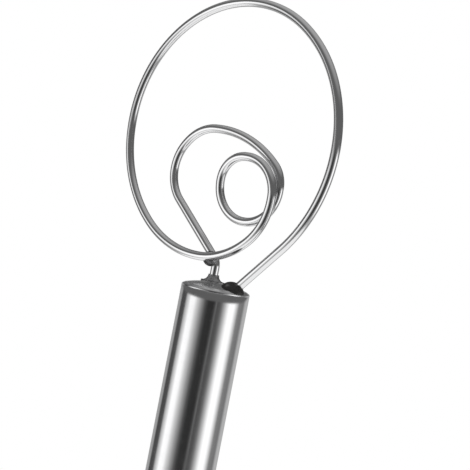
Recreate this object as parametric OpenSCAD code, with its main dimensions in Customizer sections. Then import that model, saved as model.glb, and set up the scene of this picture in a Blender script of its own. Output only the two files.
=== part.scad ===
// Dough whisk: a flat head bent from one length of wire, welded into the capped end of a tube handle.
// The origin is on the handle's axis, where the tube's head end meets its cap. +Z runs up to the head.
// The head lies in the XZ plane, seen from the front along +Y, and passes that lie behind have a larger Y.

/* [Handle] */
// Outer diameter of the handle tube
handle_d = 22; // [18:0.5:28]
// Length of the handle tube between its two caps
handle_len = 220; // [140:5:280]
// Wall of the handle tube
tube_wall = 0.8; // [0.6:0.1:1.5]

/* [End caps] */
// Thickness of the pressed cap
cap_t = 1; // [0.8:0.1:1.5]
// Height of the cap's straight rim above the tube's end
rim_h = 0.8; // [0.6:0.1:2]
// Rounding of the cap's rim
rim_round = 0.6; // [0.3:0.05:0.7]
// Rise of the dome above the rim
dome_rise = 1.8; // [1:0.1:3]
// Depth of the skirt that plugs the tube
skirt_depth = 4; // [2:0.5:10]
// Radial clearance between the skirt and the tube's bore
skirt_clear = 0.1; // [0.05:0.05:0.2]

/* [Wire] */
// Diameter of the wire that the head is bent from
wire_d = 2.8; // [2.4:0.1:3.2]
// Free gap between two passes where one lies behind the other
pass_gap = 0.5; // [0.45:0.05:1]
// Depth that each wire end reaches below the cap's rim
wire_tail = 6; // [3:0.5:12]
// Radial clearance of the wire in the holes of a cap
hole_clear = 0.1; // [0.05:0.05:0.2]
// Straight left between one bend and the next
bend_rest = 0.6; // [0.4:0.1:1.5]

/* [Leg and stem] */
// Distance from the handle's axis to the leg at the height of the rim
leg_x = 6.8; // [6:0.1:7.2]
// Lean of the leg from level
leg_angle = 47; // [42:1:60]
// Height of the loop's lowest point above the rim, which sets the leg's length
loop_h = 8.8; // [5:0.1:9]
// Distance from the handle's axis to the stem, on the other side
stem_x = 4.4; // [3.5:0.1:5.5]
// Bend radius where the diagonal turns down into the stem
stem_bend_r = 4.5; // [3.5:0.5:5.5]
// Drop from the loop's lowest point to the end of that bend
stem_drop = 2.8; // [2:0.2:4]

/* [Outer loop] */
// Bend radius up the right side
loop_right_r = 46; // [42:1:50]
// Bend radius over the top
loop_top_r = 41; // [38:1:44]
// Bend radius down the left side
loop_left_r = 43; // [40:1:46]
// Bend radius along the bottom
loop_bottom_r = 37; // [34:1:40]

/* [Inner ring] */
// Bend radius where the wire turns in from the loop's bottom
turn_in_r = 27; // [25:1:29]
// Bend radius up the ring's right side, on the front pass
ring_front_r = 19; // [17:1:21]
// Bend radius into the ring's top
ring_top_r = 12; // [11:0.5:13]
// Bend radius down the ring's left side
ring_left_r = 9.5; // [9:0.5:11]
// Bend radius under the ring
ring_under_r = 10.5; // [9.5:0.5:11.5]
// Bend radius up the ring's right side, on the back pass
ring_back_r = 11; // [10:0.5:12]

/* [Middle loop] */
// Bend radius where the back pass leaves the ring
mid_exit_r = 10; // [9:0.5:11]
// Bend radius along the middle loop's top
mid_over_r = 38.5; // [34:0.5:42]
// Bend radius of the middle loop's shoulder
mid_shoulder_r = 14.5; // [13:0.5:16]
// Bend radius down the middle loop's left side
mid_left_r = 14; // [13:0.5:15]

/* [Welds] */
// Gap left between a weld and the surfaces that it joins
weld_seat = 0.05; // [0.02:0.01:0.1]
// Radius of the bead that joins the stem to the loop's bottom
crossing_weld_r = 2.5; // [2.3:0.1:3]
// Distance that this bead hangs below the crossing
crossing_weld_sag = 0.5; // [0:0.1:1]
// Reach of the stem's weld from the stem's axis
stem_weld_r = 3.9; // [3:0.1:4.2]
// Height of the stem's weld above the dome
stem_weld_h = 2.4; // [1.8:0.1:3]
// Radius of the mound of weld round the leg's foot
leg_weld_r = 4.2; // [3.8:0.1:4.6]
// Distance of the mound's centre from the leg, outwards
leg_weld_out = 0.2; // [0:0.1:0.5]
// Distance of the mound's centre in front of the leg and below the rim
leg_weld_low = 1; // [0.6:0.1:1.2]
// Wall of a weld at its thin upper edge
weld_edge = 0.35; // [0.25:0.05:0.5]

/* [Hanging loop] */
// Diameter of the hanging loop's wire
hang_wire_d = 3; // [2.5:0.25:4]
// Distance between the two legs of the hanging loop
hang_w = 12; // [9:0.5:13]
// Length of its straight legs below the tail cap's rim
hang_leg = 10; // [6:0.5:20]
// Depth that its ends reach into the tube
hang_tail = 5; // [3:0.5:10]
// Reach of its welds from the leg's axis
hang_weld_r = 2.9; // [2.4:0.1:3]
// Height of its welds above the dome
hang_weld_h = 2; // [1.5:0.1:3]

/* [Hidden] */
$fn = 64;

steel = [0.78, 0.78, 0.79];
satin_steel = [0.68, 0.68, 0.69];
weld_grey = [0.36, 0.36, 0.37];

handle_r = handle_d / 2;
bore_r = handle_r - tube_wall;
skirt_r = bore_r - skirt_clear;
// A sphere through the rim's circle and the dome's crown
dome_r = (handle_r ^ 2 + dome_rise ^ 2) / (2 * dome_rise);
dome_z = rim_h + dome_rise - dome_r;
function dome_at(r) = dome_z + sqrt(dome_r ^ 2 - r ^ 2);

// Headings are in degrees, turning left from +X, and go on counting round the wire's three turns.
// Each bend is its radius and the heading where it ends.
front_bends = [
    [loop_right_r, 140],
    [loop_top_r, 270],
    [loop_left_r, 320],
    [loop_bottom_r, 360],
    [turn_in_r, 400],
    [ring_front_r, 450],
    [ring_top_r, 540]
];
climb_bends = [[ring_left_r, 630], [ring_under_r, 720]];
back_bends = [[ring_back_r, 810], [mid_exit_r, 860], [mid_over_r, 900], [mid_shoulder_r, 950]];
three_turns = 1080;

function ahead(h) = [cos(h), sin(h)];
function left_of(h) = [-sin(h), cos(h)];

// A run is [centre, radius, first heading, last heading]; it turns left unless its last heading is the smaller.
function side(run) = run[3] > run[2] ? 1 : -1;
function run_point(run, h) = run[0] - side(run) * run[1] * left_of(h);
function run_end(run) = run_point(run, run[3]);
function rest_end(run) = run_end(run) + bend_rest * ahead(run[3]);
function runs(bends, p, h, i = 0) =
    i == len(bends) ? [] :
    let (run = [p + bends[i][0] * left_of(h), bends[i][0], h, bends[i][1]])
    concat([run], runs(bends, rest_end(run), run[3], i + 1));
function last(list) = list[len(list) - 1];

// Front passes: the leg, the outer loop and the right side of the ring, all at no depth
leg_foot = [leg_x, rim_h];
leg_len = (loop_h - run_end(runs(front_bends, [0, 0], leg_angle)[3])[1]) / sin(leg_angle) - bend_rest;
leg_end = leg_foot - wire_tail * ahead(leg_angle);
leg_top = leg_foot + leg_len * ahead(leg_angle);
front = runs(front_bends, leg_top + bend_rest * ahead(leg_angle), leg_angle);
ring_top = rest_end(last(front));
loop_low = run_end(front[3]);

// Half a turn down the ring's left side, in a plane that leans back to carry the wire behind itself
pass_depth = wire_d + pass_gap;
climb = runs(climb_bends, [0, 0], last(front)[3]);
fall = -run_end(last(climb))[1];
climb_lean = asin(pass_depth / fall);
ring_low = ring_top + [rest_end(last(climb))[0], -fall * cos(climb_lean)];

// Back passes: the ring's right side again, the middle loop, the diagonal and the stem
back = runs(back_bends, ring_low, last(climb)[3]);
mid_side = rest_end(last(back));
mid_centre = mid_side + mid_left_r * left_of(last(back)[3]);
bend_centre = [-stem_x - stem_bend_r, loop_low[1] - stem_drop];
// The straight diagonal is the line that touches the middle loop's left side and the stem's bend
between = bend_centre - mid_centre;
diagonal = atan2(between[1], between[0]) + asin((mid_left_r + stem_bend_r) / norm(between));
mid_left = [mid_centre, mid_left_r, last(back)[3], three_turns + diagonal];
stem_bend = [bend_centre, stem_bend_r, diagonal, -90];
diagonal_top = rest_end(mid_left);
diagonal_low = run_point(stem_bend, diagonal) - bend_rest * ahead(diagonal);
stem_top = rest_end(stem_bend);
stem_end = [stem_top[0], rim_h - wire_tail];

// The diagonal leaves the loop through the arc that follows the loop's lowest point
from_arc = diagonal_top - front[4][0];
to_arc = -from_arc * ahead(diagonal);
crossing = diagonal_top
    + (to_arc + sqrt(to_arc ^ 2 - from_arc * from_arc + turn_in_r ^ 2)) * ahead(diagonal);

// Lap and extra radius of the short straight between two bends
join_lap = bend_rest / 6;
join_step = wire_d / 280;

// Points along the wire's centre line, for the measure of its least gap
point_step = 0.8;
// Two points this far apart along the wire are on different passes
same_pass = ceil(4 * wire_d / point_step);
function along(run) =
    let (n = ceil(abs(run[3] - run[2]) * PI / 180 * run[1] / point_step))
    [for (i = [0 : n - 1]) run_point(run, run[2] + (run[3] - run[2]) * i / n)];
function straight(a, b) =
    let (n = ceil(norm(b - a) / point_step))
    [for (i = [0 : n - 1]) a + (b - a) * i / n];
function at_depth(points, y) = [for (p = points) [p[0], y, p[1]]];
function in_climb(points) =
    [for (p = points) [ring_top[0] + p[0], -p[1] * sin(climb_lean), ring_top[1] + p[1] * cos(climb_lean)]];
wire_line = concat(
    at_depth(concat(straight(leg_end, leg_top), [for (run = front) each along(run)]), 0),
    in_climb([for (run = climb) each along(run)]),
    at_depth(concat([for (run = back) each along(run)], along(mid_left),
        straight(diagonal_top, diagonal_low), along(stem_bend), straight(stem_top, stem_end)), pass_depth)
);
function least_gap(line) =
    min([for (i = [0 : len(line) - same_pass - 1], j = [i + same_pass : len(line) - 1])
        norm(line[i] - line[j])]) - wire_d;

// Stands a flat drawing up in the head's plane, at a depth behind its front
module head_plane(depth = 0) {
    translate([0, depth, 0]) rotate([90, 0, 0]) children();
}

module bent(run, d) {
    start = side(run) > 0 ? run[2] - 90 : run[3] + 90;
    translate(run[0]) rotate(start)
        rotate_extrude(angle = abs(run[3] - run[2])) translate([run[1], 0]) circle(d = d);
}

module rod(a, b, d) {
    span = b - a;
    translate(a) rotate(atan2(span[1], span[0])) rotate([0, 90, 0]) cylinder(d = d, h = norm(span));
}

// The short straight that follows p. It is a hair thicker than its neighbours and laps over their ends,
// so that all of them fuse into one clean solid.
module join(p, h, d) {
    rod(p - join_lap * ahead(h), p + (bend_rest + join_lap) * ahead(h), d + 2 * join_step);
}

module bent_and_join(run, d) {
    bent(run, d);
    join(run_end(run), run[3], d);
}

module leg(d) {
    rod(leg_end, leg_top, d);
}

module stem(d) {
    rod(stem_top, stem_end, d);
}

module diagonal_and_stem(d) {
    rod(diagonal_top, diagonal_low, d);
    join(diagonal_low, diagonal, d);
    bent_and_join(stem_bend, d);
    stem(d);
}

// Solid outline of a cap's outside, with its domed crown and rounded rim, down to a depth below the tube's end
module cap_outline(depth, grow = 0) {
    corner = [handle_r - rim_round, rim_h - rim_round];
    rim = [for (a = [0 : 20 : 60]) corner + (rim_round + grow) * ahead(a)];
    intersection() {
        translate([0, dome_z]) circle(r = dome_r + grow, $fn = 360);
        polygon(concat([[0, -depth], [handle_r + grow, -depth]], rim,
            [last(rim) + 2 * dome_rise * left_of(60), [0, rim_h + 3 * dome_rise]]));
    }
}

// Pressed cap: a domed disc on the tube's end, with a skirt inside the bore
module end_cap() {
    rotate_extrude() difference() {
        union() {
            cap_outline(0);
            translate([0, -skirt_depth]) square([skirt_r, skirt_depth]);
        }
        intersection() {
            translate([0, dome_z]) circle(r = dome_r - cap_t, $fn = 360);
            translate([0, -2 * skirt_depth]) square([skirt_r - cap_t, 3 * skirt_depth]);
        }
    }
}

// Fillet of weld round an upright wire at x, y, with a hollow flank that runs out onto a cap's dome
module weld_ring(x, y, reach, height, d) {
    inner_r = d / 2 + weld_seat;
    edge_r = d / 2 + weld_edge;
    flank_h = height - weld_edge;
    flank_r = ((reach - edge_r) ^ 2 + flank_h ^ 2) / (2 * (reach - edge_r));
    translate([x, y, dome_at(norm([x, y]))]) rotate_extrude() difference() {
        translate([inner_r, -dome_rise]) square([reach - inner_r, dome_rise + height]);
        translate([edge_r + flank_r, height]) circle(r = flank_r, $fn = 96);
    }
}

// Everything that a weld on a cap has to stay out of
module cap_body() {
    rotate_extrude() cap_outline(2 * handle_r, weld_seat);
}

module handle_tube() {
    color(steel) translate([0, 0, -handle_len]) difference() {
        cylinder(r = handle_r, h = handle_len);
        translate([0, 0, -tube_wall]) cylinder(r = bore_r, h = handle_len + 2 * tube_wall);
    }
}

module head_cap() {
    color(satin_steel) difference() {
        end_cap();
        head_plane() leg(wire_d + 2 * hole_clear);
        head_plane(pass_depth) stem(wire_d + 2 * hole_clear);
    }
}

module whisk_wire() {
    echo("least gap between two passes of the wire, mm", least_gap(wire_line));
    color(steel) union() {
        head_plane() {
            leg(wire_d);
            join(leg_top, leg_angle, wire_d);
            for (run = front) bent_and_join(run, wire_d);
        }
        head_plane() translate(ring_top) rotate([climb_lean, 0, 0]) for (run = climb) bent_and_join(run, wire_d);
        head_plane(pass_depth) {
            for (run = concat(back, [mid_left])) bent_and_join(run, wire_d);
            diagonal_and_stem(wire_d);
        }
    }
}

module crossing_weld() {
    cut_d = wire_d + 2 * weld_seat;
    color(weld_grey) difference() {
        translate([crossing[0], pass_depth / 2, crossing[1] - crossing_weld_sag]) sphere(r = crossing_weld_r);
        head_plane() {
            bent_and_join(front[3], cut_d);
            bent(front[4], cut_d);
        }
        head_plane(pass_depth) diagonal_and_stem(cut_d);
    }
}

module stem_weld() {
    color(weld_grey) difference() {
        weld_ring(-stem_x, pass_depth, stem_weld_r, stem_weld_h, wire_d);
        cap_body();
    }
}

module leg_weld() {
    color(weld_grey) difference() {
        intersection() {
            translate([leg_x + leg_weld_out, -leg_weld_low, rim_h - leg_weld_low]) sphere(r = leg_weld_r);
            cylinder(r = handle_r, h = 2 * leg_weld_r);
        }
        cap_body();
        head_plane() leg(wire_d + 2 * weld_seat);
    }
}

// Carries a drawing to the tube's tail end, facing the other way
module at_tail() {
    translate([0, 0, -handle_len]) mirror([0, 0, 1]) children();
}

module hang_leg(side, d) {
    translate([side * hang_w / 2, 0, rim_h - hang_tail]) cylinder(d = d, h = hang_tail + hang_leg);
}

module tail_cap() {
    color(satin_steel) at_tail() difference() {
        end_cap();
        for (side = [-1, 1]) hang_leg(side, hang_wire_d + 2 * hole_clear);
    }
}

module hanging_loop() {
    color(steel) at_tail() union() {
        for (side = [-1, 1]) hang_leg(side, hang_wire_d);
        translate([0, 0, rim_h + hang_leg]) rotate([90, 0, 0])
            rotate_extrude(angle = 180) translate([hang_w / 2, 0]) circle(d = hang_wire_d);
    }
}

module hang_weld(side) {
    color(weld_grey) at_tail() difference() {
        weld_ring(side * hang_w / 2, 0, hang_weld_r, hang_weld_h, hang_wire_d);
        cap_body();
    }
}

handle_tube();
head_cap();
whisk_wire();
crossing_weld();
stem_weld();
leg_weld();
tail_cap();
hanging_loop();
hang_weld(-1);  // loop_weld_left
hang_weld(1);  // loop_weld_right
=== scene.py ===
"""Dough whisk of polished stainless steel, dressed over its CAD frame.

Lengths in the classes are in millimetres, as in the part's source, and meshes are in metres. The origin is
on the handle's axis where the tube's head end meets its cap, +Z runs up to the head, and the head lies in
the XZ plane with its back passes at a larger Y.
"""
import logging
import math
from dataclasses import dataclass
from enum import Enum
from typing import Callable, Iterable, Optional, Sequence, Union

import bmesh
import bpy
from mathutils import Matrix, Vector


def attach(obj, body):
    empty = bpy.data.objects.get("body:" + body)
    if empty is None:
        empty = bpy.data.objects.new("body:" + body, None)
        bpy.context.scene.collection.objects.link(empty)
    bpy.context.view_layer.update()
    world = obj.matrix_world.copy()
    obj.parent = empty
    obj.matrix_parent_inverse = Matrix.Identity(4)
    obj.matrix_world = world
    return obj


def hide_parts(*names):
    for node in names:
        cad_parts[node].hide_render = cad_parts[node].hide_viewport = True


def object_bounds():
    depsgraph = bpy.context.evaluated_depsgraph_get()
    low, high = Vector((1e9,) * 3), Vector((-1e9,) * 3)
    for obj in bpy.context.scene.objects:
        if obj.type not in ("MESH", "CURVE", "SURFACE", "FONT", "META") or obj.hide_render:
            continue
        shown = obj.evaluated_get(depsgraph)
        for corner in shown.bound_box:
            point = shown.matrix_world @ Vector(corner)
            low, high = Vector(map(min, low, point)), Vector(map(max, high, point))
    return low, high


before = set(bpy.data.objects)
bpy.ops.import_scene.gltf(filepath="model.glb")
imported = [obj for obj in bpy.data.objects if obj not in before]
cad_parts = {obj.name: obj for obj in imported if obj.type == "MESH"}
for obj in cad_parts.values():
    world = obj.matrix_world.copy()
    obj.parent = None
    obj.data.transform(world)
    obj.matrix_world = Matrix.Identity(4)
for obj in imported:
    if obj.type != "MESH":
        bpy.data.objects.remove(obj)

log = logging.getLogger("dough_whisk")
CAD_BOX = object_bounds()
MM = 0.001
BODY = "root"
# Height of a cap's rim over the end of the tube
CAP_RIM = 0.8
# Vertices closer than this many metres are merged
MERGE = 1e-6

Number = Union[int, float]
Colour = tuple[float, float, float]
Point = tuple[float, float, float]
Pairs = tuple[tuple[float, float], ...]
Placer = Callable[[float, float], Vector]


class Slot(Enum):
    """The record's material slots."""

    WIRE = "wire"
    TUBE = "tube"
    CAP = "cap"
    WELD = "weld"


class Shade:
    """A socket that takes part in Python arithmetic. Each operator adds one Math node."""

    def __init__(self, maker: "NodeMaker", socket: Optional[bpy.types.NodeSocket]) -> None:
        """Wraps an output socket.

        Args:
            maker: adds nodes to the same tree.
            socket: the output socket, or None after a node that has no output.
        """
        self.maker = maker
        self.socket = socket

    def _math(self, operation: str, *values: Union["Shade", Number]) -> "Shade":
        """Adds a Math node.

        Args:
            operation: the node's operation.
            values: its inputs in order.

        Returns:
            The node's output.
        """
        return self.maker.add("ShaderNodeMath", {"operation": operation}, dict(enumerate(values)))

    def __add__(self, other: Union["Shade", Number]) -> "Shade":
        """Sum of two values."""
        return self._math("ADD", self, other)

    __radd__ = __add__

    def __sub__(self, other: Union["Shade", Number]) -> "Shade":
        """Difference of two values."""
        return self._math("SUBTRACT", self, other)

    def __rsub__(self, other: Number) -> "Shade":
        """Difference from a number."""
        return self._math("SUBTRACT", other, self)

    def __mul__(self, other: Union["Shade", Number]) -> "Shade":
        """Product of two values."""
        return self._math("MULTIPLY", self, other)

    def __truediv__(self, other: Union["Shade", Number]) -> "Shade":
        """Quotient of two values."""
        return self._math("DIVIDE", self, other)

    def cosine(self) -> "Shade":
        """Cosine of an angle in radians."""
        return self._math("COSINE", self)

    def sine(self) -> "Shade":
        """Sine of an angle in radians."""
        return self._math("SINE", self)

    def bearing(self, x: "Shade") -> "Shade":
        """Angle in radians, from +X, of the point at x whose Y is this value."""
        return self._math("ARCTAN2", self, x)

    def fraction(self) -> "Shade":
        """What is left above the whole number."""
        return self._math("FRACT", self)

    def between(self, low: Number, high: Number) -> "Shade":
        """Smooth step from 0 at low to 1 at high.

        Args:
            low: value that gives 0.
            high: value that gives 1.

        Returns:
            The stepped value.
        """
        return self.maker.add(
            "ShaderNodeMapRange",
            {"interpolation_type": "SMOOTHSTEP"},
            {"Value": self, "From Min": low, "From Max": high, "To Min": 0.0, "To Max": 1.0},
        )


class NodeMaker:
    """Adds nodes to one tree."""

    def __init__(self, tree: bpy.types.NodeTree) -> None:
        """Keeps the tree that the nodes go into."""
        self.tree = tree

    def add(
        self,
        kind: str,
        settings: Optional[dict] = None,
        links: Optional[dict] = None,
        output: Union[int, str] = 0,
    ) -> Shade:
        """Adds a node, sets it up and joins its inputs.

        Args:
            kind: the node's type.
            settings: properties that are set first; "stops" gives a ramp's positions and colours.
            links: values or sockets by input index or name.
            output: the output to return.

        Returns:
            The wrapped output, which is empty for a node that has none.
        """
        node = self.tree.nodes.new(kind)
        for name, value in (settings or {}).items():
            if name == "stops":
                self._set_stops(node.color_ramp, value)
            else:
                setattr(node, name, value)
        for name, value in (links or {}).items():
            if isinstance(value, Shade):
                self.tree.links.new(value.socket, node.inputs[name])
            else:
                node.inputs[name].default_value = value
        found = node.outputs[output] if len(node.outputs) else None
        return Shade(self, found)

    @staticmethod
    def _set_stops(ramp: bpy.types.ColorRamp, stops: Sequence[tuple[float, float]]) -> None:
        """Gives a ramp its stops.

        Args:
            ramp: the ramp.
            stops: pairs of a position and a grey level.
        """
        while len(ramp.elements) > 1:
            ramp.elements.remove(ramp.elements[-1])
        for i, (place, level) in enumerate(stops):
            stop = ramp.elements[0] if i == 0 else ramp.elements.new(place)
            stop.position = place
            stop.color = (level, level, level, 1.0)

    def mix(self, factor: Shade, first: Colour, second: Colour) -> Shade:
        """Mixes two colours.

        Args:
            factor: 0 gives the first colour and 1 the second.
            first: a linear colour.
            second: a linear colour.

        Returns:
            The mixed colour.
        """
        # Inputs 6 and 7 and output 2 are the ones that a Mix node uses for colours
        links = {"Factor": factor, 6: (*first, 1.0), 7: (*second, 1.0)}
        return self.add("ShaderNodeMix", {"data_type": "RGBA"}, links, 2)

    def noise(self, place: Shade, scale: float, detail: float) -> Shade:
        """Adds a noise pattern.

        Args:
            place: where the pattern is read.
            scale: its scale.
            detail: its detail.

        Returns:
            The pattern's level.
        """
        links = {"Vector": place, "Scale": scale, "Detail": detail}
        return self.add("ShaderNodeTexNoise", links=links)

    def bump(self, strength: float, depth: float, height: Shade) -> Shade:
        """Adds fine relief.

        Args:
            strength: how much of the relief shows.
            depth: its depth in metres where the height is 1.
            height: its height.

        Returns:
            The changed normal.
        """
        links = {"Strength": strength, "Distance": depth, "Height": height}
        return self.add("ShaderNodeBump", links=links)


def blank_material(name: str) -> tuple[bpy.types.Material, NodeMaker]:
    """Makes a material with an empty node tree.

    Args:
        name: the material's name.

    Returns:
        The material and the maker of its nodes.
    """
    made = bpy.data.materials.new(name)
    made.use_nodes = True
    made.node_tree.nodes.clear()
    return made, NodeMaker(made.node_tree)


@dataclass(frozen=True)
class SteelFinish:
    """Polished or ground stainless steel with fine lines, soft mottling and small wear marks."""

    name: str
    colour: Colour = (0.82, 0.82, 0.825)
    dull: Colour = (0.68, 0.68, 0.685)
    roughness: float = 0.14
    roughness_spread: float = 0.10
    line_scale: tuple[float, float, float] = (60.0, 60.0, 2500.0)
    line_detail: float = 4.0
    line_depth: float = 0.02
    mottle_scale: float = 160.0
    mottle_detail: float = 3.0
    mottle_depth: float = 0.02
    # A cloud of wear is this many times as large as a spot of the mottling
    cloud_size: float = 6.0
    cloud_detail: float = 2.0
    # Levels of the clouds and lines where wear starts and is full, and each one's share of it
    cloud_range: tuple[float, float] = (0.45, 0.75)
    cloud_share: float = 0.6
    line_range: tuple[float, float] = (0.55, 0.8)
    line_share: float = 0.4
    wear: float = 0.5
    bump: float = 0.25
    bump_depth: float = 0.0002
    # Attribute that the lines follow instead of the piece's own axes
    attribute: Optional[str] = None

    def material(self) -> bpy.types.Material:
        """Builds the finish.

        Returns:
            The material.
        """
        made, maker = blank_material(self.name)
        spot = maker.add("ShaderNodeTexCoord", output="Object")
        place = spot
        if self.attribute:
            settings = {"attribute_name": self.attribute}
            place = maker.add("ShaderNodeAttribute", settings, output="Vector")
        stretched = maker.add("ShaderNodeMapping", links={"Vector": place, "Scale": self.line_scale})
        lines = maker.noise(stretched, 1.0, self.line_detail)
        mottle = maker.noise(spot, self.mottle_scale, self.mottle_detail)
        clouds = maker.noise(spot, self.mottle_scale / self.cloud_size, self.cloud_detail)
        worn = clouds.between(*self.cloud_range) * self.cloud_share
        worn = worn + lines.between(*self.line_range) * self.line_share
        colour = maker.mix(worn * self.wear, self.colour, self.dull)
        uneven = (lines - 0.5) * self.roughness_spread + (mottle - 0.5) * self.roughness_spread
        height = lines * self.line_depth + mottle * self.mottle_depth
        shader = maker.add(
            "ShaderNodeBsdfPrincipled",
            links={
                "Base Color": colour,
                "Metallic": 1.0,
                "Roughness": self.roughness + uneven,
                "Normal": maker.bump(self.bump, self.bump_depth, height),
            },
        )
        maker.add("ShaderNodeOutputMaterial", links={"Surface": shader})
        return made


@dataclass(frozen=True)
class WeldFinish:
    """Raw weld metal: lumpy, scaled and dark, with brighter ground spots."""

    name: str
    bright: Colour = (0.45, 0.45, 0.455)
    scale: Colour = (0.07, 0.068, 0.066)
    lump_scale: float = 900.0
    lump_detail: float = 5.0
    # A dark patch is this many times as large as a lump
    patch_size: float = 3.0
    patch_detail: float = 3.0
    patch_edge: float = 0.12
    dark_share: float = 0.5
    roughness: float = 0.32
    lump_roughness: float = 0.25
    scale_roughness: float = 0.12
    metallic: float = 0.9
    bump: float = 0.6
    bump_depth: float = 0.0003

    def material(self) -> bpy.types.Material:
        """Builds the finish.

        Returns:
            The material.
        """
        made, maker = blank_material(self.name)
        spot = maker.add("ShaderNodeTexCoord", output="Object")
        lumps = maker.noise(spot, self.lump_scale, self.lump_detail)
        patches = maker.noise(spot, self.lump_scale / self.patch_size, self.patch_detail)
        middle = 1.0 - self.dark_share
        dark = patches.between(middle - self.patch_edge, middle + self.patch_edge)
        colour = maker.mix(dark, self.bright, self.scale)
        rough = self.roughness + lumps * self.lump_roughness + dark * self.scale_roughness
        shader = maker.add(
            "ShaderNodeBsdfPrincipled",
            links={
                "Base Color": colour,
                "Metallic": self.metallic,
                "Roughness": rough,
                "Normal": maker.bump(self.bump, self.bump_depth, lumps),
            },
        )
        maker.add("ShaderNodeOutputMaterial", links={"Surface": shader})
        return made


class Route:
    """A wire's centre line, walked in one plane at a time through straights and bends."""

    fewest_steps = 4

    def __init__(self, start: Sequence[float], heading: float, place: Placer, step: float) -> None:
        """Starts the walk.

        Args:
            start: first point in the plane.
            heading: first heading in degrees, turning left from +X.
            place: carries a plane point into space.
            step: longest distance between two points of the line.
        """
        self.at = Vector(start)
        self.heading = heading
        self.place = place
        self.step = step
        self.points: list[Vector] = [place(*self.at)]

    @staticmethod
    def ahead(heading: float) -> Vector:
        """Unit vector along a heading."""
        return Vector((math.cos(math.radians(heading)), math.sin(math.radians(heading))))

    @classmethod
    def left_of(cls, heading: float) -> Vector:
        """Unit vector to the left of a heading."""
        return cls.ahead(heading + 90)

    def go(self, length: float) -> None:
        """Walks straight.

        Args:
            length: distance to walk.
        """
        count = max(1, math.ceil(length / self.step))
        start = self.at.copy()
        for i in range(1, count + 1):
            self.at = start + self.ahead(self.heading) * length * i / count
            self.points.append(self.place(*self.at))

    def turn(self, radius: float, heading: float) -> None:
        """Walks round a bend, to the left unless the new heading is the smaller.

        Args:
            radius: the bend's radius.
            heading: heading at its end.
        """
        first = self.heading
        side = 1 if heading > first else -1
        centre = self.at + self.left_of(first) * radius * side
        length = math.radians(abs(heading - first)) * radius
        count = max(self.fewest_steps, math.ceil(length / self.step))
        for i in range(1, count + 1):
            now = first + (heading - first) * i / count
            self.at = centre - self.left_of(now) * radius * side
            self.points.append(self.place(*self.at))
        self.heading = heading

    def move_to(self, start: Sequence[float], place: Placer) -> None:
        """Goes on in another plane from the same point in space, with the same heading.

        Args:
            start: the point in the new plane.
            place: carries a point of the new plane into space.
        """
        self.at = Vector(start)
        self.place = place


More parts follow.
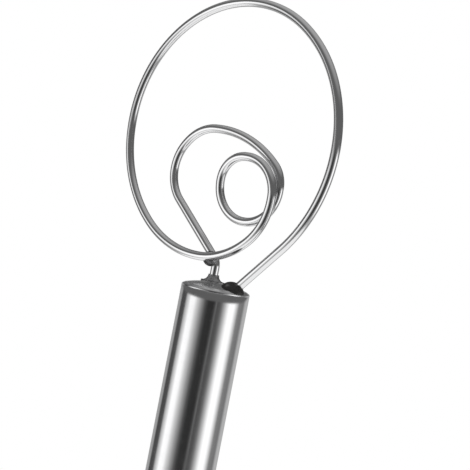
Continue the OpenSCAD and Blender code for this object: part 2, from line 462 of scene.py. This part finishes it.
class PathSweep:
    """Geometry Nodes tree that sweeps a round section along a line of points."""

    def __init__(self) -> None:
        """Builds the tree."""
        self.tree = bpy.data.node_groups.new("round_wire_along_path", "GeometryNodeTree")
        self._input("Path", "NodeSocketGeometry")
        self.radius_id = self._input("Wire Radius", "NodeSocketFloat")
        self.around_id = self._input("Faces Around", "NodeSocketInt")
        self.material_id = self._input("Finish", "NodeSocketMaterial")
        self.tree.interface.new_socket("Wire", in_out="OUTPUT", socket_type="NodeSocketGeometry")
        maker = NodeMaker(self.tree)
        inputs = self.tree.nodes.new("NodeGroupInput")
        given = {s.name: Shade(maker, s) for s in inputs.outputs if s.name}
        line = maker.add("GeometryNodeMeshToCurve", links={"Mesh": given["Path"]})
        distance = maker.add("GeometryNodeSplineParameter", output="Length")
        line = self._store(maker, line, "run", distance)
        section = maker.add(
            "GeometryNodeCurvePrimitiveCircle",
            links={"Resolution": given["Faces Around"], "Radius": given["Wire Radius"]},
        )
        turn = maker.add("GeometryNodeSplineParameter", output="Factor") * math.tau
        section = self._store(maker, section, "round_x", turn.cosine() * given["Wire Radius"])
        section = self._store(maker, section, "round_y", turn.sine() * given["Wire Radius"])
        swept = maker.add(
            "GeometryNodeCurveToMesh",
            links={"Curve": line, "Profile Curve": section, "Fill Caps": True},
        )
        # Place on the wire as if it were straight, which the drawn lines of its finish follow
        stored = {}
        for axis, name in (("X", "round_x"), ("Y", "round_y"), ("Z", "run")):
            settings = {"data_type": "FLOAT"}
            stored[axis] = maker.add("GeometryNodeInputNamedAttribute", settings, {"Name": name})
        place = maker.add("ShaderNodeCombineXYZ", links=stored)
        swept = maker.add(
            "GeometryNodeStoreNamedAttribute",
            {"data_type": "FLOAT_VECTOR", "domain": "POINT"},
            {"Geometry": swept, "Name": "drawn", "Value": place},
        )
        smooth = maker.add("GeometryNodeSetShadeSmooth", links={"Geometry": swept})
        real = maker.add("GeometryNodeRealizeInstances", links={"Geometry": smooth})
        dressed = maker.add(
            "GeometryNodeSetMaterial", links={"Geometry": real, "Material": given["Finish"]}
        )
        output = self.tree.nodes.new("NodeGroupOutput")
        self.tree.links.new(dressed.socket, output.inputs["Wire"])

    def _input(self, name: str, kind: str) -> str:
        """Adds an input to the tree.

        Args:
            name: the input's name.
            kind: the socket's type.

        Returns:
            The socket's identifier.
        """
        return self.tree.interface.new_socket(name, in_out="INPUT", socket_type=kind).identifier

    @staticmethod
    def _store(maker: NodeMaker, geometry: Shade, name: str, value: Shade) -> Shade:
        """Stores a number on a curve's points.

        Args:
            maker: the tree's node maker.
            geometry: the curve.
            name: the attribute's name.
            value: the number.

        Returns:
            The curve with the attribute.
        """
        return maker.add(
            "GeometryNodeStoreNamedAttribute",
            {"data_type": "FLOAT", "domain": "POINT"},
            {"Geometry": geometry, "Name": name, "Value": value},
        )

    def sweep(
        self,
        name: str,
        points: Sequence[Vector],
        radius: float,
        around: int,
        finish: bpy.types.Material,
    ) -> bpy.types.Object:
        """Sweeps a wire along points.

        Args:
            name: the piece's name.
            points: centre line in millimetres.
            radius: the wire's radius in millimetres.
            around: faces round the section.
            finish: the wire's material.

        Returns:
            The piece as a plain mesh.
        """
        path = bpy.data.meshes.new(name + "_path")
        steps = [(i, i + 1) for i in range(len(points) - 1)]
        path.from_pydata([p * MM for p in points], steps, [])
        carrier = bpy.data.objects.new(name + "_path", path)
        bpy.context.scene.collection.objects.link(carrier)
        nodes = carrier.modifiers.new("sweep", "NODES")
        nodes.node_group = self.tree
        nodes[self.radius_id] = radius * MM
        nodes[self.around_id] = around
        nodes[self.material_id] = finish
        bpy.context.view_layer.update()
        graph = bpy.context.evaluated_depsgraph_get()
        mesh = bpy.data.meshes.new_from_object(carrier.evaluated_get(graph), depsgraph=graph)
        carrier.modifiers.remove(nodes)
        bpy.data.objects.remove(carrier)
        bpy.data.meshes.remove(path)
        mesh.name = name
        tidy_normals(mesh)
        piece = bpy.data.objects.new(name, mesh)
        bpy.context.scene.collection.objects.link(piece)
        return piece


def tidy_normals(mesh: bpy.types.Mesh) -> None:
    """Merges doubles and points every face outwards.

    Args:
        mesh: the mesh to tidy.
    """
    work = bmesh.new()
    work.from_mesh(mesh)
    bmesh.ops.remove_doubles(work, verts=work.verts, dist=MERGE)
    bmesh.ops.recalc_face_normals(work, faces=work.faces)
    work.to_mesh(mesh)
    work.free()


def new_piece(
    name: str,
    points: Iterable[Point],
    faces: Iterable[Sequence[int]],
    finish: bpy.types.Material,
) -> bpy.types.Object:
    """Makes a smooth mesh piece at the origin.

    Args:
        name: the piece's name.
        points: vertices in millimetres.
        faces: vertex indices of each face.
        finish: the piece's material.

    Returns:
        The piece.
    """
    mesh = bpy.data.meshes.new(name)
    mesh.from_pydata([Vector(p) * MM for p in points], [], list(faces))
    tidy_normals(mesh)
    mesh.polygons.foreach_set("use_smooth", [True] * len(mesh.polygons))
    mesh.materials.append(finish)
    piece = bpy.data.objects.new(name, mesh)
    bpy.context.scene.collection.objects.link(piece)
    return piece


def turned(
    profile: Sequence[tuple[float, float]], around: int, closed: bool
) -> tuple[list[Point], list[tuple[int, ...]]]:
    """Turns a profile about the Z axis.

    Args:
        profile: radius and height of each point.
        around: faces round the axis.
        closed: True where the profile's last point joins its first.

    Returns:
        Points and faces.
    """
    count = len(profile)
    rows = count if closed else count - 1
    points, faces = [], []
    for i in range(around):
        angle = math.tau * i / around
        points += [(r * math.cos(angle), r * math.sin(angle), z) for r, z in profile]
        here, beside = i * count, (i + 1) % around * count
        for j in range(rows):
            above = (j + 1) % count
            faces.append((here + j, here + above, beside + above, beside + j))
    return points, faces


@dataclass
class Handle:
    """The tube of the handle."""

    radius: float = 11.0
    length: float = 220.0
    wall: float = 0.8
    edge: float = 0.15
    around: int = 192
    rows: int = 60

    def build(self, finish: bpy.types.Material) -> list[bpy.types.Object]:
        """Makes the tube with softened ends.

        Args:
            finish: polished steel.

        Returns:
            A list with the piece.
        """
        bore = self.radius - self.wall
        shoulder = self.radius - self.edge
        straight = self.length - 2 * self.edge
        drops = [straight * i / self.rows for i in range(self.rows + 1)]
        profile = [(bore, 0.0), (shoulder, 0.0)]
        profile += [(self.radius, -self.edge - drop) for drop in drops]
        profile += [(shoulder, -self.length), (bore, -self.length)]
        points, faces = turned(profile, self.around, True)
        tube = new_piece("tube", points, faces, finish)
        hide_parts("handle_tube")
        return [tube]


@dataclass
class Head:
    """The head's wire: one length, bent in plane, whose second pass climbs behind its first."""

    wire_d: float = 2.8
    pass_gap: float = 0.5
    wire_tail: float = 6.0
    bend_rest: float = 0.6
    leg_x: float = 6.8
    leg_angle: float = 47.0
    leg_len: float = 21.0
    stem_x: float = 4.4
    stem_bend_r: float = 4.5
    stem_drop: float = 2.8
    # Radius of each bend, and the heading where it ends, which counts on through three turns
    loop: Pairs = ((46.0, 140.0), (41.0, 270.0), (43.0, 320.0), (37.0, 360.0))
    ring_front: Pairs = ((27.0, 400.0), (19.0, 450.0), (12.0, 540.0))
    ring_climb: Pairs = ((9.5, 630.0), (10.5, 720.0))
    ring_back: Pairs = ((11.0, 810.0), (10.0, 860.0), (38.5, 900.0), (14.5, 950.0))
    three_turns: float = 1080.0
    mid_left_r: float = 14.0
    step: float = 0.5
    around: int = 32

    def __post_init__(self) -> None:
        """Works out the depth of the back passes and the centre line."""
        self.depth = self.wire_d + self.pass_gap
        self.points = self._walk()

    def _walk(self) -> list[Vector]:
        """Walks the wire from the leg's end to the stem's end.

        Returns:
            The centre line in millimetres.
        """
        foot = Vector((self.leg_x, CAP_RIM))
        start = foot - Route.ahead(self.leg_angle) * self.wire_tail
        route = Route(start, self.leg_angle, lambda x, z: Vector((x, 0, z)), self.step)
        route.go(self.wire_tail + self.leg_len + self.bend_rest)
        self._bends(route, self.loop)
        loop_low = route.at.y
        self._bends(route, self.ring_front)
        # Half a turn in a plane that leans back carries the wire behind itself
        top = route.at.copy()
        fall = sum(radius for radius, _ in self.ring_climb) + self.bend_rest
        lean = math.asin(self.depth / fall)
        route.move_to(
            (0, 0),
            lambda x, z: Vector((top.x + x, -z * math.sin(lean), top.y + z * math.cos(lean))),
        )
        self._bends(route, self.ring_climb)
        low = (top.x + route.at.x, top.y + route.at.y * math.cos(lean))
        route.move_to(low, lambda x, z: Vector((x, self.depth, z)))
        self._bends(route, self.ring_back)
        # The diagonal runs from the middle loop's left bend to the stem's bend and touches both
        middle = route.at + Route.left_of(route.heading) * self.mid_left_r
        bend = Vector((-self.stem_x - self.stem_bend_r, loop_low - self.stem_drop))
        between = bend - middle
        lean_down = math.asin((self.mid_left_r + self.stem_bend_r) / between.length)
        diagonal = math.degrees(math.atan2(between.y, between.x) + lean_down)
        route.turn(self.mid_left_r, self.three_turns + diagonal)
        diagonal_end = bend + Route.left_of(diagonal) * self.stem_bend_r
        route.go((diagonal_end - route.at).length)
        route.heading = diagonal
        route.turn(self.stem_bend_r, -90.0)
        route.go(route.at.y - CAP_RIM + self.wire_tail)
        return route.points

    def _bends(self, route: Route, bends: Pairs) -> None:
        """Walks through bends, each followed by its short straight.

        Args:
            route: the walk.
            bends: radius and last heading of each bend.
        """
        for radius, heading in bends:
            route.turn(radius, heading)
            route.go(self.bend_rest)

    def build(self, sweeper: PathSweep, finish: bpy.types.Material) -> list[bpy.types.Object]:
        """Makes the wire.

        Args:
            sweeper: sweeps the section along the path.
            finish: polished wire.

        Returns:
            A list with the piece.
        """
        wire = sweeper.sweep("head_wire", self.points, self.wire_d / 2, self.around, finish)
        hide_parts("whisk_wire")
        return [wire]


@dataclass
class HangingLoop:
    """Bent wire eye at the tail."""

    handle_length: float
    wire_d: float = 3.0
    width: float = 12.0
    leg: float = 10.0
    tail: float = 5.0
    step: float = 0.4
    around: int = 32

    def build(self, sweeper: PathSweep, finish: bpy.types.Material) -> list[bpy.types.Object]:
        """Makes the eye.

        Args:
            sweeper: sweeps the section along the path.
            finish: polished wire.

        Returns:
            A list with the piece.
        """
        top = Vector((-self.width / 2, -self.handle_length - CAP_RIM + self.tail))
        route = Route(top, -90.0, lambda x, z: Vector((x, 0, z)), self.step)
        route.go(self.tail + self.leg)
        route.turn(self.width / 2, 90.0)
        route.go(self.tail + self.leg)
        eye = sweeper.sweep("hanging_eye", route.points, self.wire_d / 2, self.around, finish)
        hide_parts("hanging_loop")
        return [eye]


@dataclass
class KeptNodes:
    """CAD nodes whose shape stays, with a better finish."""

    finishes: dict[str, bpy.types.Material]

    def dress(self) -> list[bpy.types.Object]:
        """Gives each node its finish.

        Returns:
            The nodes' objects.
        """
        dressed = []
        for name, finish in self.finishes.items():
            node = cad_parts[name]
            node.data.materials.clear()
            node.data.materials.append(finish)
            dressed.append(node)
        return dressed


@dataclass(frozen=True)
class Lamp:
    """Round soft lamp aimed at the origin. The steel doesn't mirror it."""

    name: str
    place: Point
    size: float
    watts: float

    def build(self) -> None:
        """Makes the lamp."""
        data = bpy.data.lights.new(self.name, "AREA")
        data.shape = "DISK"
        data.size = self.size * MM
        data.energy = self.watts
        lamp = bpy.data.objects.new(self.name, data)
        lamp.location = Vector(self.place) * MM
        lamp.rotation_euler = (-Vector(self.place)).to_track_quat("-Z", "Y").to_euler()
        lamp.visible_glossy = False
        bpy.context.scene.collection.objects.link(lamp)


@dataclass
class Studio:
    """Camera, white world, tent of bright and dark panels, floor and lamps."""

    focal: float = 68.71
    sensor: float = 36.0
    nearest: float = 10.0
    farthest: float = 10000.0
    eye: Point = (173.54, -225.79, 18.44)
    right: Point = (0.78397, 0.59076, 0.19081)
    up: Point = (-0.15239, -0.11483, 0.98163)
    camera_azimuth: float = 37.0
    # Strength of the world as a light, and as the camera and reflections see it
    world_light: float = 0.55
    world_shown: float = 1.0
    # The floor touches the part's lowest point
    floor_z: float = CAD_BOX[0][2] / MM
    floor_r: float = 690.0
    floor_around: int = 96
    floor_colour: Colour = (0.86, 0.86, 0.86)
    floor_roughness: float = 0.7
    fade_from: float = 270.0
    fade_to: float = 500.0
    tent_r: float = 700.0
    tent_around: int = 180
    # Share of the tent's radius, and the height, from the foot of its wall to its crown
    tent_profile: Pairs = (
        (1.0, -600.0),
        (1.0, 150.0),
        (0.94, 320.0),
        (0.74, 520.0),
        (0.37, 660.0),
        (0.001, 700.0),
    )
    # Heights between which the panels give way to the top's brightness
    top_low: float = 70.0
    top_high: float = 170.0
    top_level: float = 0.13
    # Heights between which the top gains this much brightness
    crown_low: float = 400.0
    crown_high: float = 700.0
    crown_gain: float = 0.30
    # Heights between which the panels give way to the ground's brightness
    ground_high: float = -320.0
    ground_low: float = -540.0
    ground_level: float = 0.42
    # Bearing in degrees from the camera's side, turning to the right, and the brightness there
    panels: Pairs = (
        # Behind the object and to its left: grey wall, then a dark card
        (-180, 0.40), (-134, 0.40), (-126, 0.07), (-103, 0.09),
        # Left: a window that falls off slowly towards the camera
        (-97, 0.5), (-83, 0.95), (-80, 1.25), (-63, 1.2), (-52, 0.75), (-38, 0.36),
        # Round the camera: a black card with a thin light slit on its right
        (-25, 0.10), (-15, 0.035), (3, 0.03), (9, 0.08), (12, 0.2), (15, 0.08),
        # Right: a window
        (24, 0.10), (31, 0.18), (42, 0.55), (51, 1.0), (58, 1.3), (75, 1.25), (84, 0.8),
        # To the object's right and behind it: a dim card, then grey wall
        (96, 0.24), (118, 0.20), (127, 0.4), (134, 0.52), (180, 0.45),
    )
    lamps: tuple[Lamp, ...] = (
        Lamp("key", (-500.0, -500.0, 900.0), 700.0, 6.0),
        Lamp("fill", (900.0, 100.0, 600.0), 900.0, 4.0),
    )

    def build(self) -> None:
        """Makes everything round the object."""
        self._camera()
        self._world()
        self._tent()
        self._floor()
        for lamp in self.lamps:
            lamp.build()

    def _camera(self) -> None:
        """Places the camera at the photo's viewpoint."""
        data = bpy.data.cameras.new("view")
        data.lens = self.focal
        data.sensor_width = self.sensor
        data.clip_start = self.nearest * MM
        data.clip_end = self.farthest * MM
        camera = bpy.data.objects.new("view", data)
        right, up = Vector(self.right).normalized(), Vector(self.up).normalized()
        back = right.cross(up).normalized()
        up = back.cross(right)
        turn = Matrix((right, up, back)).transposed()
        camera.matrix_world = Matrix.Translation(Vector(self.eye) * MM) @ turn.to_4x4()
        bpy.context.scene.collection.objects.link(camera)
        bpy.context.scene.camera = camera

    def _world(self) -> None:
        """Makes a world that is white to the camera and in reflections, and softer as a light."""
        world = bpy.data.worlds.new("tent_top")
        world.use_nodes = True
        world.node_tree.nodes.clear()
        maker = NodeMaker(world.node_tree)
        names = ("Is Camera Ray", "Is Glossy Ray", "Is Transmission Ray")
        seen = [maker.add("ShaderNodeLightPath", output=name) for name in names]
        shown = seen[0] + seen[1] + seen[2]
        rise = self.world_shown - self.world_light
        strength = self.world_light + shown.between(0.0, 1.0) * rise
        white = (1.0, 1.0, 1.0, 1.0)
        light = maker.add("ShaderNodeBackground", links={"Color": white, "Strength": strength})
        maker.add("ShaderNodeOutputWorld", links={"Surface": light})
        bpy.context.scene.world = world

    def _tent(self) -> None:
        """Makes the domed wall whose panels the steel mirrors. The camera doesn't see it."""
        profile = [(self.tent_r * share, z) for share, z in self.tent_profile]
        points, faces = turned(profile, self.tent_around, False)
        finish, maker = blank_material("tent_panels")
        place = maker.add("ShaderNodeTexCoord", output="Object")
        x, y, z = (
            maker.add("ShaderNodeSeparateXYZ", links={"Vector": place}, output=axis) for axis in "XYZ"
        )
        # Bearing of a wall point in turns, where 0.5 is on the camera's side
        camera_side = (self.camera_azimuth - 90.0) / 360.0
        bearing = (y.bearing(x) / math.tau - camera_side + 0.5).fraction()
        stops = [((angle + 180.0) / 360.0, level) for angle, level in self.panels]
        panels = maker.add("ShaderNodeValToRGB", {"stops": stops}, {"Fac": bearing})
        above = z.between(self.top_low * MM, self.top_high * MM)
        crown = z.between(self.crown_low * MM, self.crown_high * MM)
        top = crown * self.crown_gain + self.top_level
        below = 1 - z.between(self.ground_low * MM, self.ground_high * MM)
        level = panels * (1 - above - below) + top * above + below * self.ground_level
        glow = maker.add("ShaderNodeEmission", links={"Color": level, "Strength": 1.0})
        maker.add("ShaderNodeOutputMaterial", links={"Surface": glow})
        wall = new_piece("tent_wall", points, faces, finish)
        wall.visible_camera = False
        wall.visible_shadow = False
        wall.visible_diffuse = False

    def _floor(self) -> None:
        """Makes the pale round floor, which fades into the white background."""
        count = self.floor_around
        points = [(0.0, 0.0, self.floor_z)]
        for i in range(count):
            edge = Route.ahead(360 * i / count) * self.floor_r
            points.append((edge.x, edge.y, self.floor_z))
        faces = [(0, 1 + i, 1 + (i + 1) % count) for i in range(count)]
        finish, maker = blank_material("pale_floor")
        place = maker.add("ShaderNodeTexCoord", output="Object")
        far = maker.add("ShaderNodeVectorMath", {"operation": "LENGTH"}, {0: place}, output="Value")
        seen = maker.add("ShaderNodeLightPath", output="Is Camera Ray")
        faded = far.between(self.fade_from * MM, self.fade_to * MM) * seen
        paint = maker.add(
            "ShaderNodeBsdfPrincipled",
            links={"Base Color": (*self.floor_colour, 1.0), "Roughness": self.floor_roughness},
        )
        clear = maker.add("ShaderNodeBsdfTransparent")
        mixed = maker.add("ShaderNodeMixShader", links={0: faded, 1: paint, 2: clear})
        maker.add("ShaderNodeOutputMaterial", links={"Surface": mixed})
        floor = new_piece("floor", points, faces, finish)
        floor.visible_glossy = False


def main() -> None:
    logging.basicConfig(level=logging.INFO, format="%(name)s: %(message)s")
    tube_steel = SteelFinish("polished_tube").material()
    wire_steel = SteelFinish(
        "drawn_wire", roughness=0.12, line_scale=(900.0, 900.0, 30.0), attribute="drawn"
    ).material()
    cap_steel = SteelFinish(
        "pressed_cap", roughness=0.22, line_scale=(400.0, 400.0, 400.0)
    ).material()
    weld = WeldFinish("spot_weld").material()
    dark_weld = WeldFinish("raw_weld", dark_share=0.62).material()
    sweeper = PathSweep()
    handle = Handle()
    pieces = handle.build(tube_steel)
    pieces += Head().build(sweeper, wire_steel)
    pieces += HangingLoop(handle.length).build(sweeper, wire_steel)
    for piece in pieces:
        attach(piece, BODY)
    kept = KeptNodes(
        {
            "head_cap": cap_steel,
            "tail_cap": cap_steel,
            "crossing_weld": weld,
            "stem_weld": weld,
            "leg_weld": dark_weld,
            "loop_weld_left": weld,
            "loop_weld_right": weld,
        }
    )
    for piece in pieces + kept.dress():
        log.info("%s: %d faces", piece.name, len(piece.data.polygons))
    Studio().build()
    bpy.context.scene.view_settings.view_transform = "Standard"


if __name__ == "__main__":
    main()
